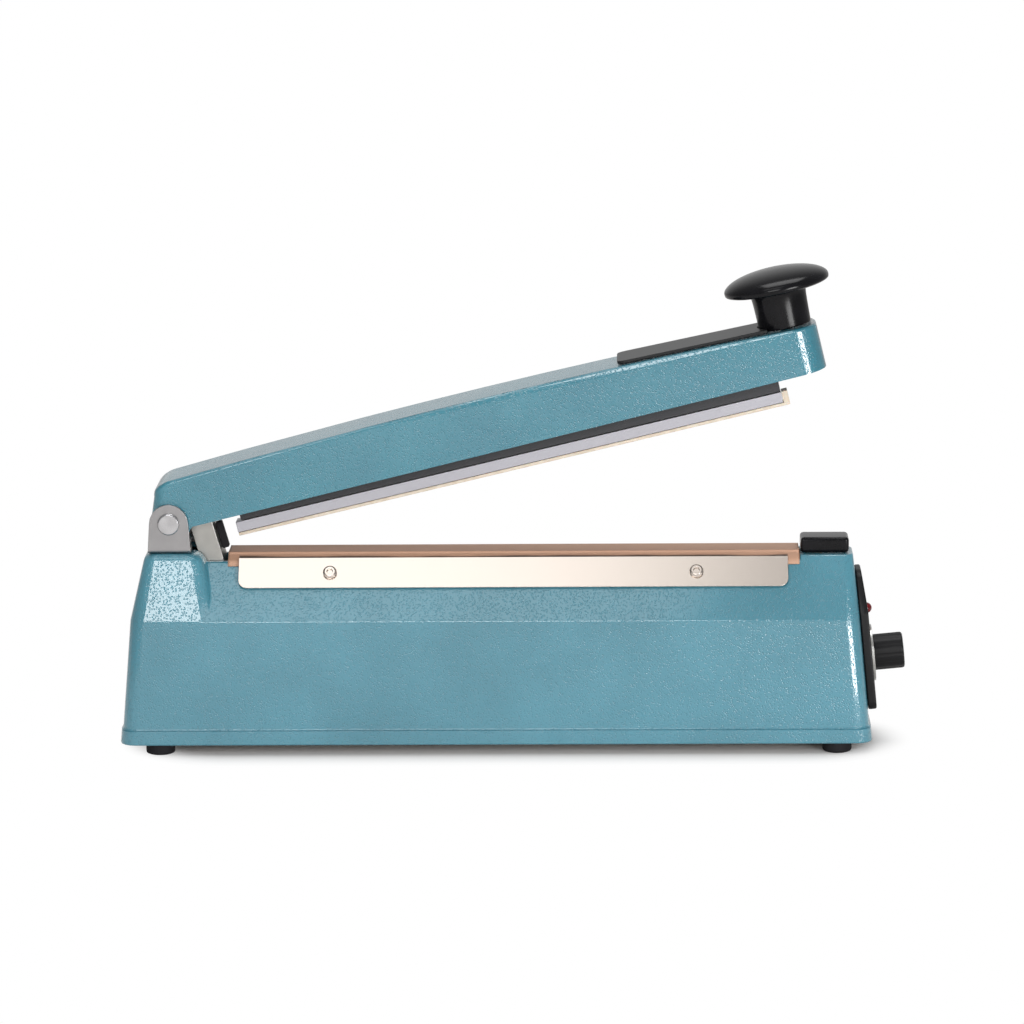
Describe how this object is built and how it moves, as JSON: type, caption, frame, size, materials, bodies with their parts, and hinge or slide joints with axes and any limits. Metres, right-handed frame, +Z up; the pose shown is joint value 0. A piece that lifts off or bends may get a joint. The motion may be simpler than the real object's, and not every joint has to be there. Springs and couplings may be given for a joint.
{
  "type": "impulse sealer",
  "caption": "Tabletop impulse heat sealer: a hinged pressing arm with a mushroom knob closes on a heated rail over a cast base with a timer dial.",
  "frame": {"origin": "centre of the bounding box in plan, at the level that the feet stand on", "axes": "+X along the rail from the hinge towards the timer dial, +Y across it away from the user, +Z up"},
  "size_m": [0.4433, 0.0815, 0.2719],
  "materials": {
    "aluminium": "drawn aluminium",
    "board": "green board",
    "brass": "plain brass",
    "cloth": "coated glass cloth",
    "copper": "enamelled copper wire",
    "core": "varnished laminations",
    "dark": "black painted steel",
    "dial": "silver scale plate",
    "fibre": "glass fibre tape",
    "gloss": "black, moulded",
    "grey": "grey moulded",
    "lens": "red, clear moulded",
    "matte": "black, fine grain",
    "nylon": "natural nylon",
    "ribbon": "flat resistance ribbon",
    "rubber": "black rubber",
    "silicone": "cream silicone",
    "spring": "spring steel wire",
    "steel": "polished steel sheet",
    "teal": "hammered teal enamel",
    "zinc": "zinc plated"
  },
  "bodies": {
    "base": {"base_housing": "teal", "bottom_cover": "zinc", "foot_1": "rubber", "foot_2": "rubber", "foot_3": "rubber", "foot_4": "rubber", "foot_screw_1": "zinc", "foot_screw_2": "zinc", "foot_screw_3": "zinc", "foot_screw_4": "zinc", "hinge_bracket": "steel", "bracket_screw_1": "zinc", "bracket_screw_2": "zinc", "hinge_pin": "steel", "pin_clip": "spring", "sealing_rail": "aluminium", "insulating_strip": "fibre", "heating_ribbon": "ribbon", "electrode_left": "brass", "electrode_right": "brass", "release_cloth": "cloth", "front_cloth_plate": "steel", "rear_cloth_plate": "steel", "front_plate_screw_1": "steel", "front_plate_screw_2": "steel", "rear_plate_screw_1": "steel", "rear_plate_screw_2": "steel", "end_cap": "gloss", "control_panel": "matte", "dial_scale": "dial", "pilot_lamp": "lens", "timer_control": "grey", "circuit_board": "board", "transformer_core": "core", "transformer_winding": "copper", "cord_gland": "rubber", "switch_body": "matte", "switch_bracket": "zinc", "return_spring": "spring"},
    "arm": {"arm_casting": "teal", "arm_cover_plate": "dark", "press_knob": "gloss", "knob_bolt": "zinc", "near_hinge_bush": "nylon", "far_hinge_bush": "nylon", "arm_lever": "zinc", "lever_screw": "zinc", "stop_pad": "rubber", "bar_holder": "dark"},
    "bar": {"pressure_bar": "aluminium", "silicone_strip": "silicone", "bar_stud_1": "zinc", "bar_stud_2": "zinc"},
    "dial": {"timer_knob": "gloss", "timer_shaft": "aluminium"},
    "plunger": {"switch_plunger": "nylon"}
  },
  "joints": [
    {"name": "arm_hinge", "type": "hinge", "parent": "base", "child": "arm", "pos_m": [-0.1927, 0, 0.13], "axis": [0, 1, 0], "range_deg": [0, 13.37], "stiffness_Nm_per_rad": 6, "springref_deg": -34.38, "deforming": ["return_spring"]},
    {"name": "bar_float", "type": "slide", "parent": "arm", "child": "bar", "axis": [-0.2312, 0, 0.9729], "range_m": [0, 0.0005]},
    {"name": "dial_turn", "type": "hinge", "parent": "base", "child": "dial", "pos_m": [0.19733, 0, 0.0493], "axis": [0.9958, 0, 0.0914], "range_deg": [-300, 0]},
    {"name": "plunger_slide", "type": "slide", "parent": "base", "child": "plunger", "axis": [0, 0, -1], "range_m": [0, 0.0015]}
  ],
  "couplings": [
    {"joint": "bar_float", "follows": "arm_hinge", "m_per_rad": 0.0021427},
    {"joint": "plunger_slide", "follows": "arm_hinge", "m_per_rad": 0.0064281}
  ]
}
